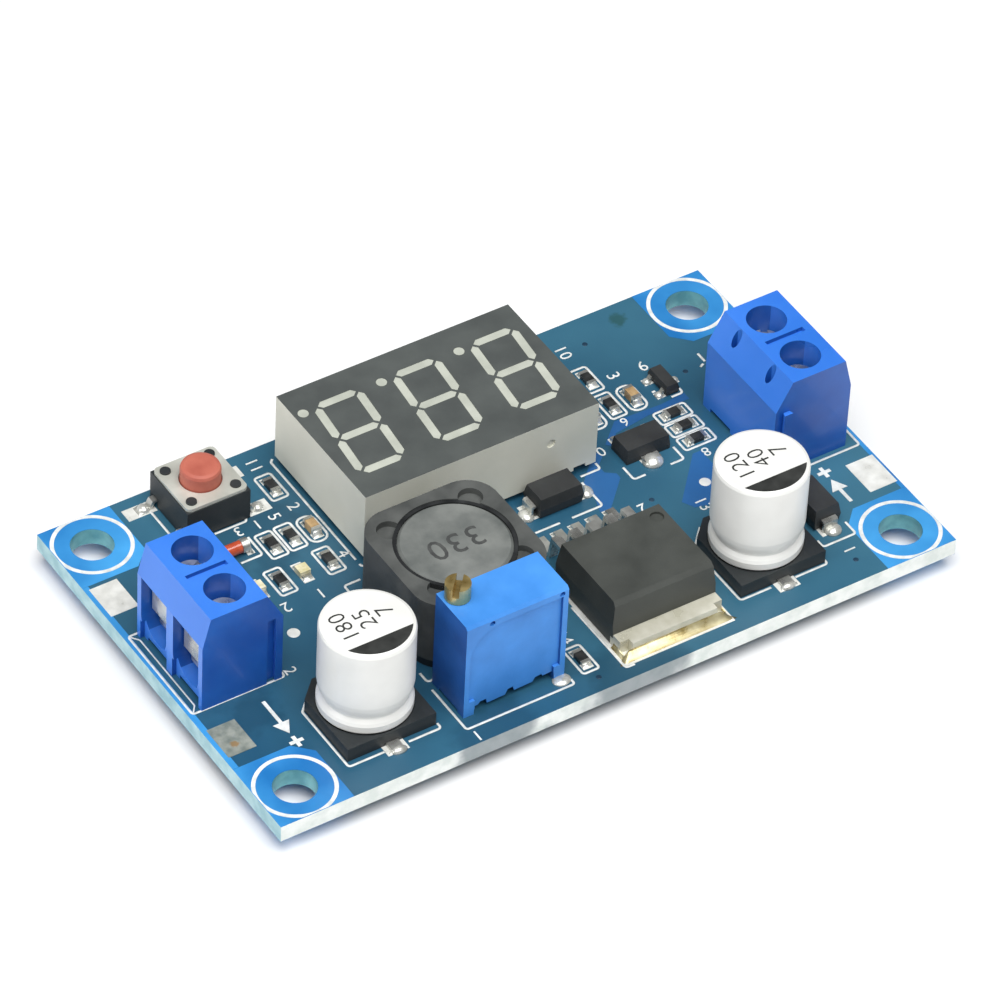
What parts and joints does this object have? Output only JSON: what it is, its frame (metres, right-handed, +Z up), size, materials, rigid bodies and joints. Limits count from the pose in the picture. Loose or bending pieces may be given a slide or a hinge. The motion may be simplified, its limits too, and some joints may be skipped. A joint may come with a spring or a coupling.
{
  "type": "buck converter module",
  "caption": "Step-down converter board with screw terminals at both ends, a three-digit meter, a push button and a multi-turn trimmer, standing on its pin tails",
  "frame": {"origin": "under the middle of the board, at the level of the pin tips it stands on", "axes": "X runs from the output terminal to the input terminal, Y towards the meter display, Z up from the component side"},
  "size_m": [0.065, 0.0384, 0.0147],
  "materials": {
    "board": "glass-epoxy board with a glossy blue mask over copper",
    "terminal_blue": "moulded, fine satin, blue",
    "tinned_metal": "tin plated, dull and slightly uneven",
    "screw_steel": "zinc plated, satin",
    "display_cream": "moulded, satin, warm white, with a dark grey front face",
    "display_lens": "diffusing epoxy, unlit, light warm grey",
    "potting_board": "small epoxy board",
    "mould_black": "moulding compound, matte black",
    "ferrite": "pressed and sintered ferrite, dark grey, matte",
    "copper_wire": "enamelled copper wire",
    "glue_black": "cured epoxy, matte black",
    "can_aluminium": "satin coated aluminium, white on top",
    "trimmer_blue": "moulded, satin, light blue",
    "screw_brass": "turned brass",
    "button_red": "moulded, matte brick red",
    "cover_steel": "stamped sheet, satin",
    "resistor_black": "glazed film on ceramic",
    "ceramic_tan": "fired ceramic, tan",
    "led_cream": "moulded, translucent cream",
    "diode_glass": "glass tube tinted orange red",
    "solder": "solder, bright"
  },
  "bodies": {
    "root": {"pcb": "board", "out_terminal_housing": "terminal_blue", "in_terminal_housing": "terminal_blue", "out_contact_frames": "tinned_metal", "in_contact_frames": "tinned_metal", "display_housing": "display_cream", "display_segments": "display_lens", "display_substrate": "potting_board", "display_pins": "tinned_metal", "meter_chip": "mould_black", "meter_chip_leads": "tinned_metal", "inductor_shield": "ferrite", "inductor_drum": "ferrite", "inductor_winding": "copper_wire", "inductor_glue": "glue_black", "inductor_base": "mould_black", "inductor_terminals": "tinned_metal", "capacitor_cans": "can_aluminium", "capacitor_bases": "mould_black", "capacitor_leads": "tinned_metal", "regulator_body": "mould_black", "regulator_tab": "tinned_metal", "regulator_leads": "tinned_metal", "trimmer_body": "trimmer_blue", "trimmer_pins": "tinned_metal", "switch_base": "mould_black", "switch_cover": "cover_steel", "switch_leads": "tinned_metal", "switch_dome": "cover_steel", "power_diodes": "mould_black", "power_diode_leads": "tinned_metal", "small_regulator": "mould_black", "small_regulator_leads": "tinned_metal", "small_transistor": "mould_black", "small_transistor_leads": "tinned_metal", "chip_resistors": "resistor_black", "chip_resistor_ends": "tinned_metal", "ceramic_capacitors": "ceramic_tan", "ceramic_capacitor_ends": "tinned_metal", "indicator_leds": "led_cream", "indicator_led_ends": "tinned_metal", "glass_diode": "diode_glass", "glass_diode_caps": "tinned_metal", "solder_joints": "solder"},
    "out_minus_leaf": {"out_minus_leaf": "tinned_metal"},
    "out_minus_screw": {"out_minus_screw": "screw_steel"},
    "out_plus_leaf": {"out_plus_leaf": "tinned_metal"},
    "out_plus_screw": {"out_plus_screw": "screw_steel"},
    "in_minus_leaf": {"in_minus_leaf": "tinned_metal"},
    "in_minus_screw": {"in_minus_screw": "screw_steel"},
    "in_plus_leaf": {"in_plus_leaf": "tinned_metal"},
    "in_plus_screw": {"in_plus_screw": "screw_steel"},
    "trimmer_screw": {"trimmer_screw": "screw_brass"},
    "switch_plunger": {"switch_plunger": "button_red"}
  },
  "joints": [
    {"name": "out_minus_clamp", "type": "slide", "parent": "root", "child": "out_minus_leaf", "axis": [0, 0, -1], "range_m": [-0.0013, 0.001]},
    {"name": "out_minus_turn", "type": "hinge", "parent": "out_minus_leaf", "child": "out_minus_screw", "pos_m": [-0.02775, 0.00254, 0.0101], "axis": [0, 0, -1], "range_deg": [-936, 720]},
    {"name": "out_plus_clamp", "type": "slide", "parent": "root", "child": "out_plus_leaf", "axis": [0, 0, -1], "range_m": [-0.0013, 0.001]},
    {"name": "out_plus_turn", "type": "hinge", "parent": "out_plus_leaf", "child": "out_plus_screw", "pos_m": [-0.02775, -0.00246, 0.0101], "axis": [0, 0, -1], "range_deg": [-936, 720]},
    {"name": "in_minus_clamp", "type": "slide", "parent": "root", "child": "in_minus_leaf", "axis": [0, 0, -1], "range_m": [-0.0013, 0.001]},
    {"name": "in_minus_turn", "type": "hinge", "parent": "in_minus_leaf", "child": "in_minus_screw", "pos_m": [0.02745, 0.00235, 0.0101], "axis": [0, 0, -1], "range_deg": [-936, 720]},
    {"name": "in_plus_clamp", "type": "slide", "parent": "root", "child": "in_plus_leaf", "axis": [0, 0, -1], "range_m": [-0.0013, 0.001]},
    {"name": "in_plus_turn", "type": "hinge", "parent": "in_plus_leaf", "child": "in_plus_screw", "pos_m": [0.02745, -0.00265, 0.0101], "axis": [0, 0, -1], "range_deg": [-936, 720]},
    {"name": "trimmer_turn", "type": "hinge", "parent": "root", "child": "trimmer_screw", "pos_m": [-0.01236, -0.01273, 0.0131], "axis": [0, 0, 1], "continuous": true},
    {"name": "button_press", "type": "slide", "parent": "root", "child": "switch_plunger", "axis": [0, 0, -1], "range_m": [0, 0.00025], "stiffness_N_per_m": 800, "springref_m": -0.0005}
  ],
  "couplings": [
    {"joint": "out_minus_turn", "follows": "out_minus_clamp", "rad_per_m": 12566},
    {"joint": "out_plus_turn", "follows": "out_plus_clamp", "rad_per_m": 12566},
    {"joint": "in_minus_turn", "follows": "in_minus_clamp", "rad_per_m": 12566},
    {"joint": "in_plus_turn", "follows": "in_plus_clamp", "rad_per_m": 12566}
  ]
}
